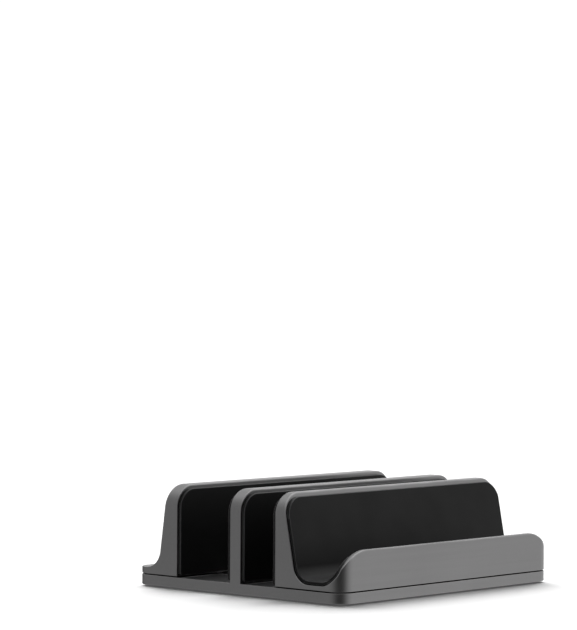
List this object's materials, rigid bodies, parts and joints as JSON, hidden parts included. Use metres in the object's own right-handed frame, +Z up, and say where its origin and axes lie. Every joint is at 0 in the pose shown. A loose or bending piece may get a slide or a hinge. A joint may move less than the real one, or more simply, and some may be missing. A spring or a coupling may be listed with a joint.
{
  "type": "vertical laptop stand",
  "caption": "Low aluminium desk stand with a phone trough in front and two padded upright slots behind, whose outer brackets slide and clamp to set the slot widths.",
  "frame": {"origin": "middle of the footprint, on the desk under the feet", "axes": "+X along the slots, to the right seen from the phone trough; +Y from the trough to the rear bracket; +Z up"},
  "size_m": [0.151, 0.127, 0.048],
  "materials": {
    "anodised_aluminium": "bead blasted, anodised mid grey, satin",
    "silicone_pads": "matte black moulded silicone",
    "silicone_feet": "matte black moulded silicone",
    "screw_steel": "black oxide steel, satin",
    "washer_steel": "zinc plated steel, satin"
  },
  "bodies": {
    "base": {"base_plate": "anodised_aluminium", "divider_pad_front": "silicone_pads", "divider_pad_rear": "silicone_pads", "tablet_slot_mat": "silicone_pads", "laptop_slot_mat": "silicone_pads", "foot_front_left": "silicone_feet", "foot_front_right": "silicone_feet", "foot_rear_left": "silicone_feet", "foot_rear_right": "silicone_feet"},
    "phone_bracket": {"phone_bracket": "anodised_aluminium", "phone_cradle_liner": "silicone_pads", "phone_bracket_rear_pad": "silicone_pads"},
    "rear_bracket": {"rear_bracket": "anodised_aluminium", "rear_bracket_pad": "silicone_pads"},
    "clamp_washer_front_left": {"clamp_washer_front_left": "washer_steel"},
    "clamp_screw_front_left": {"clamp_screw_front_left": "screw_steel"},
    "clamp_washer_front_right": {"clamp_washer_front_right": "washer_steel"},
    "clamp_screw_front_right": {"clamp_screw_front_right": "screw_steel"},
    "clamp_washer_rear_left": {"clamp_washer_rear_left": "washer_steel"},
    "clamp_screw_rear_left": {"clamp_screw_rear_left": "screw_steel"},
    "clamp_washer_rear_right": {"clamp_washer_rear_right": "washer_steel"},
    "clamp_screw_rear_right": {"clamp_screw_rear_right": "screw_steel"}
  },
  "joints": [
    {"name": "phone_bracket_slide", "type": "slide", "parent": "base", "child": "phone_bracket", "axis": [0, 1, 0], "range_m": [0, 0.007]},
    {"name": "rear_bracket_slide", "type": "slide", "parent": "base", "child": "rear_bracket", "axis": [0, -1, 0], "range_m": [0, 0.018]},
    {"name": "clamp_screw_front_left_drop", "type": "slide", "parent": "phone_bracket", "child": "clamp_washer_front_left", "axis": [0, 0, -1], "range_m": [0, 0.0007]},
    {"name": "clamp_screw_front_left_turn", "type": "hinge", "parent": "clamp_washer_front_left", "child": "clamp_screw_front_left", "pos_m": [-0.045, -0.033, 0.0026], "axis": [0, 0, -1], "range_deg": [0, 360]},
    {"name": "clamp_screw_front_right_drop", "type": "slide", "parent": "phone_bracket", "child": "clamp_washer_front_right", "axis": [0, 0, -1], "range_m": [0, 0.0007]},
    {"name": "clamp_screw_front_right_turn", "type": "hinge", "parent": "clamp_washer_front_right", "child": "clamp_screw_front_right", "pos_m": [0.045, -0.033, 0.0026], "axis": [0, 0, -1], "range_deg": [0, 360]},
    {"name": "clamp_screw_rear_left_drop", "type": "slide", "parent": "rear_bracket", "child": "clamp_washer_rear_left", "axis": [0, 0, -1], "range_m": [0, 0.0007]},
    {"name": "clamp_screw_rear_left_turn", "type": "hinge", "parent": "clamp_washer_rear_left", "child": "clamp_screw_rear_left", "pos_m": [-0.045, 0.0425, 0.0026], "axis": [0, 0, -1], "range_deg": [0, 360]},
    {"name": "clamp_screw_rear_right_drop", "type": "slide", "parent": "rear_bracket", "child": "clamp_washer_rear_right", "axis": [0, 0, -1], "range_m": [0, 0.0007]},
    {"name": "clamp_screw_rear_right_turn", "type": "hinge", "parent": "clamp_washer_rear_right", "child": "clamp_screw_rear_right", "pos_m": [0.045, 0.0425, 0.0026], "axis": [0, 0, -1], "range_deg": [0, 360]}
  ],
  "couplings": [
    {"joint": "clamp_screw_front_left_turn", "follows": "clamp_screw_front_left_drop", "rad_per_m": 8975.8},
    {"joint": "clamp_screw_front_right_turn", "follows": "clamp_screw_front_right_drop", "rad_per_m": 8975.8},
    {"joint": "clamp_screw_rear_left_turn", "follows": "clamp_screw_rear_left_drop", "rad_per_m": 8975.8},
    {"joint": "clamp_screw_rear_right_turn", "follows": "clamp_screw_rear_right_drop", "rad_per_m": 8975.8}
  ]
}
